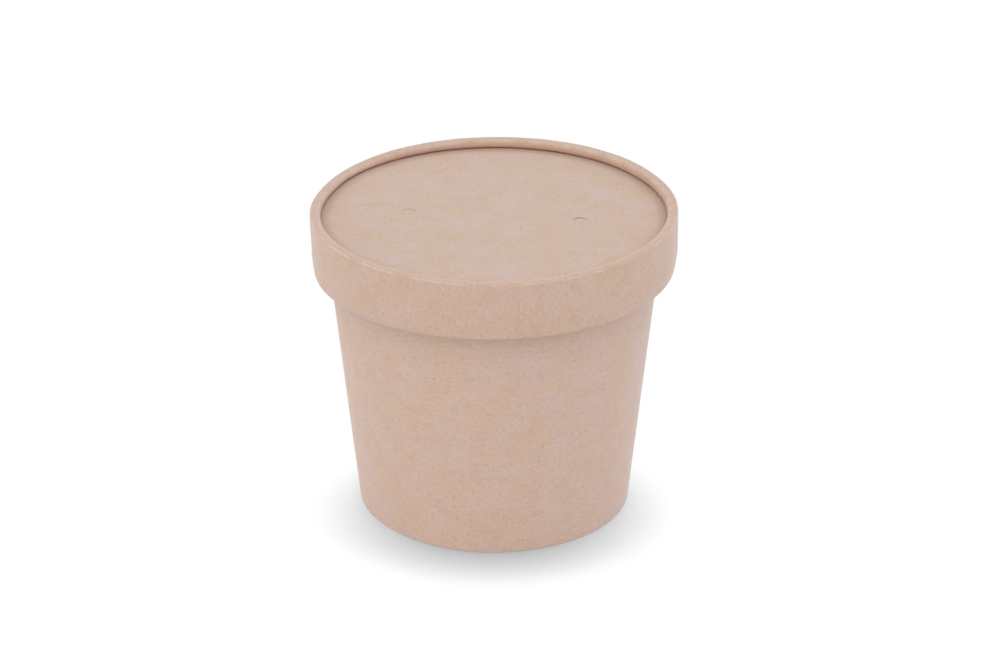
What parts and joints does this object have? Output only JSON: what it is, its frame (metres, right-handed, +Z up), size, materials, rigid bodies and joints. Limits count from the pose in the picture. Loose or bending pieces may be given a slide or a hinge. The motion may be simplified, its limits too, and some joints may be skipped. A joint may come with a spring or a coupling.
{
  "type": "paper ice cream tub",
  "caption": "Tapered round tub of plain kraft board with a rolled rim and a folded foot, and a press-on lid with a raised bead, a deep band and half-moon steam cuts.",
  "frame": {"origin": "centre of the foot, on the surface the tub stands on", "axes": "+Z up along the tub's axis; +Y to the back, where both lap seams are; +X to the right"},
  "size_m": [0.0994, 0.0994, 0.0858],
  "materials": {
    "cup_board": "matt uncoated kraft board",
    "lid_board": "matt uncoated kraft board"
  },
  "bodies": {
    "cup": {"cup_wall": "cup_board", "cup_floor": "cup_board"},
    "lid": {"lid_band": "lid_board", "lid_panel": "lid_board"}
  },
  "joints": [
    {"name": "lid_lift", "type": "slide", "parent": "cup", "child": "lid", "axis": [0, 0, 1], "range_m": [0, 0.06]}
  ]
}
